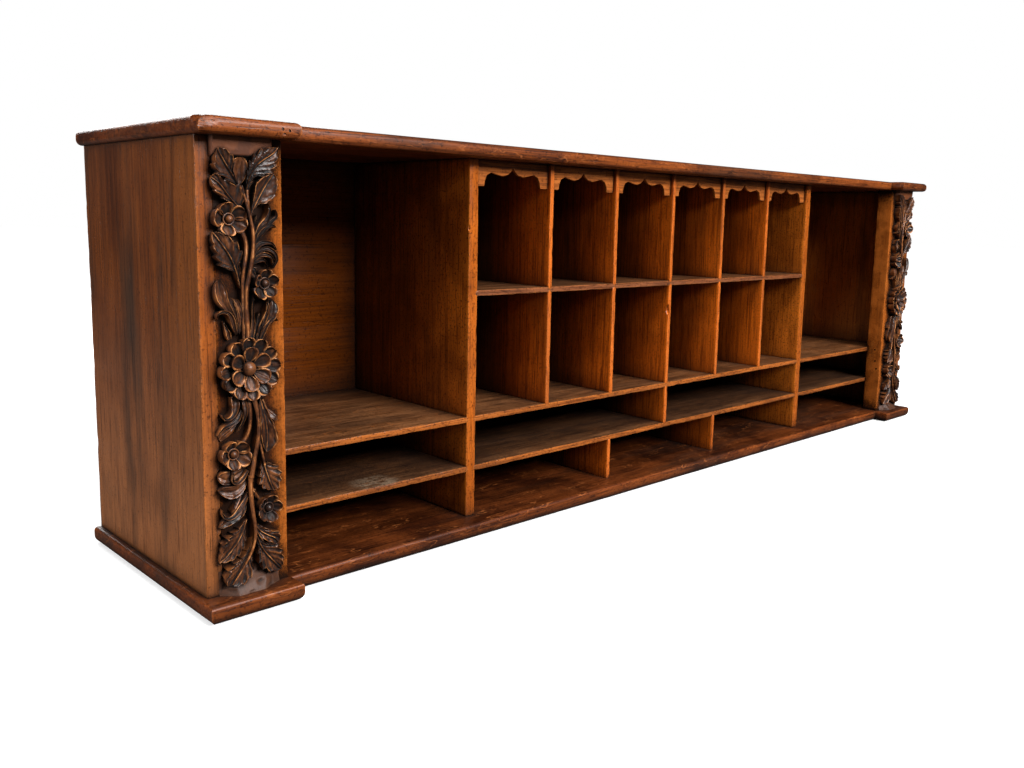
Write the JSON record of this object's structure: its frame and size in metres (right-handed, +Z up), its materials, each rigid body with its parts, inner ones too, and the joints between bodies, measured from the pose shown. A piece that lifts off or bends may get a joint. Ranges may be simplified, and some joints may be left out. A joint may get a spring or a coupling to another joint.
{
  "type": "pigeonhole mail sorter",
  "caption": "Long open-fronted wooden desk-top sorter with pigeonholes, wide bays, low paper slots and carved foliage pilasters.",
  "frame": {"origin": "centre of the overall box, on the floor plane under the base board", "axes": "+X along the case towards its right end as seen from the front, +Y from the open front to the back, +Z up"},
  "size_m": [1.718, 0.349, 0.54],
  "materials": {
    "case_wood": "worn dark stained and waxed hardwood, satin, orange-brown on rubbed edges",
    "carved_wood": "carved dark stained hardwood, blackened hollows and rubbed ridges",
    "back_wood": "thin stained back boards with horizontal grain",
    "steel": "plain steel, dulled with age"
  },
  "bodies": {
    "root": {"base_board": "case_wood", "top_board": "case_wood", "left_side": "case_wood", "right_side": "case_wood", "left_divider": "case_wood", "right_divider": "case_wood", "left_pilaster": "case_wood", "right_pilaster": "case_wood", "left_bay_upper_shelf": "case_wood", "left_bay_lower_shelf": "case_wood", "right_bay_upper_shelf": "case_wood", "right_bay_lower_shelf": "case_wood", "pigeonhole_floor": "case_wood", "slot_shelf": "case_wood", "mid_shelf": "case_wood", "upper_divider_1": "case_wood", "upper_divider_2": "case_wood", "upper_divider_3": "case_wood", "upper_divider_4": "case_wood", "upper_divider_5": "case_wood", "lower_divider_1": "case_wood", "lower_divider_2": "case_wood", "lower_divider_3": "case_wood", "lower_divider_4": "case_wood", "lower_divider_5": "case_wood", "slot_divider": "case_wood", "left_bottom_divider": "case_wood", "right_bottom_divider": "case_wood", "valance_1": "case_wood", "valance_2": "case_wood", "valance_3": "case_wood", "valance_4": "case_wood", "valance_5": "case_wood", "valance_6": "case_wood", "top_plugs": "case_wood", "left_carving": "carved_wood", "right_carving": "carved_wood", "back_board_1": "back_wood", "back_board_2": "back_wood", "back_board_3": "back_wood", "back_board_4": "back_wood", "base_screws": "steel", "top_screws": "steel", "back_nails": "steel"}
  },
  "joints": []
}
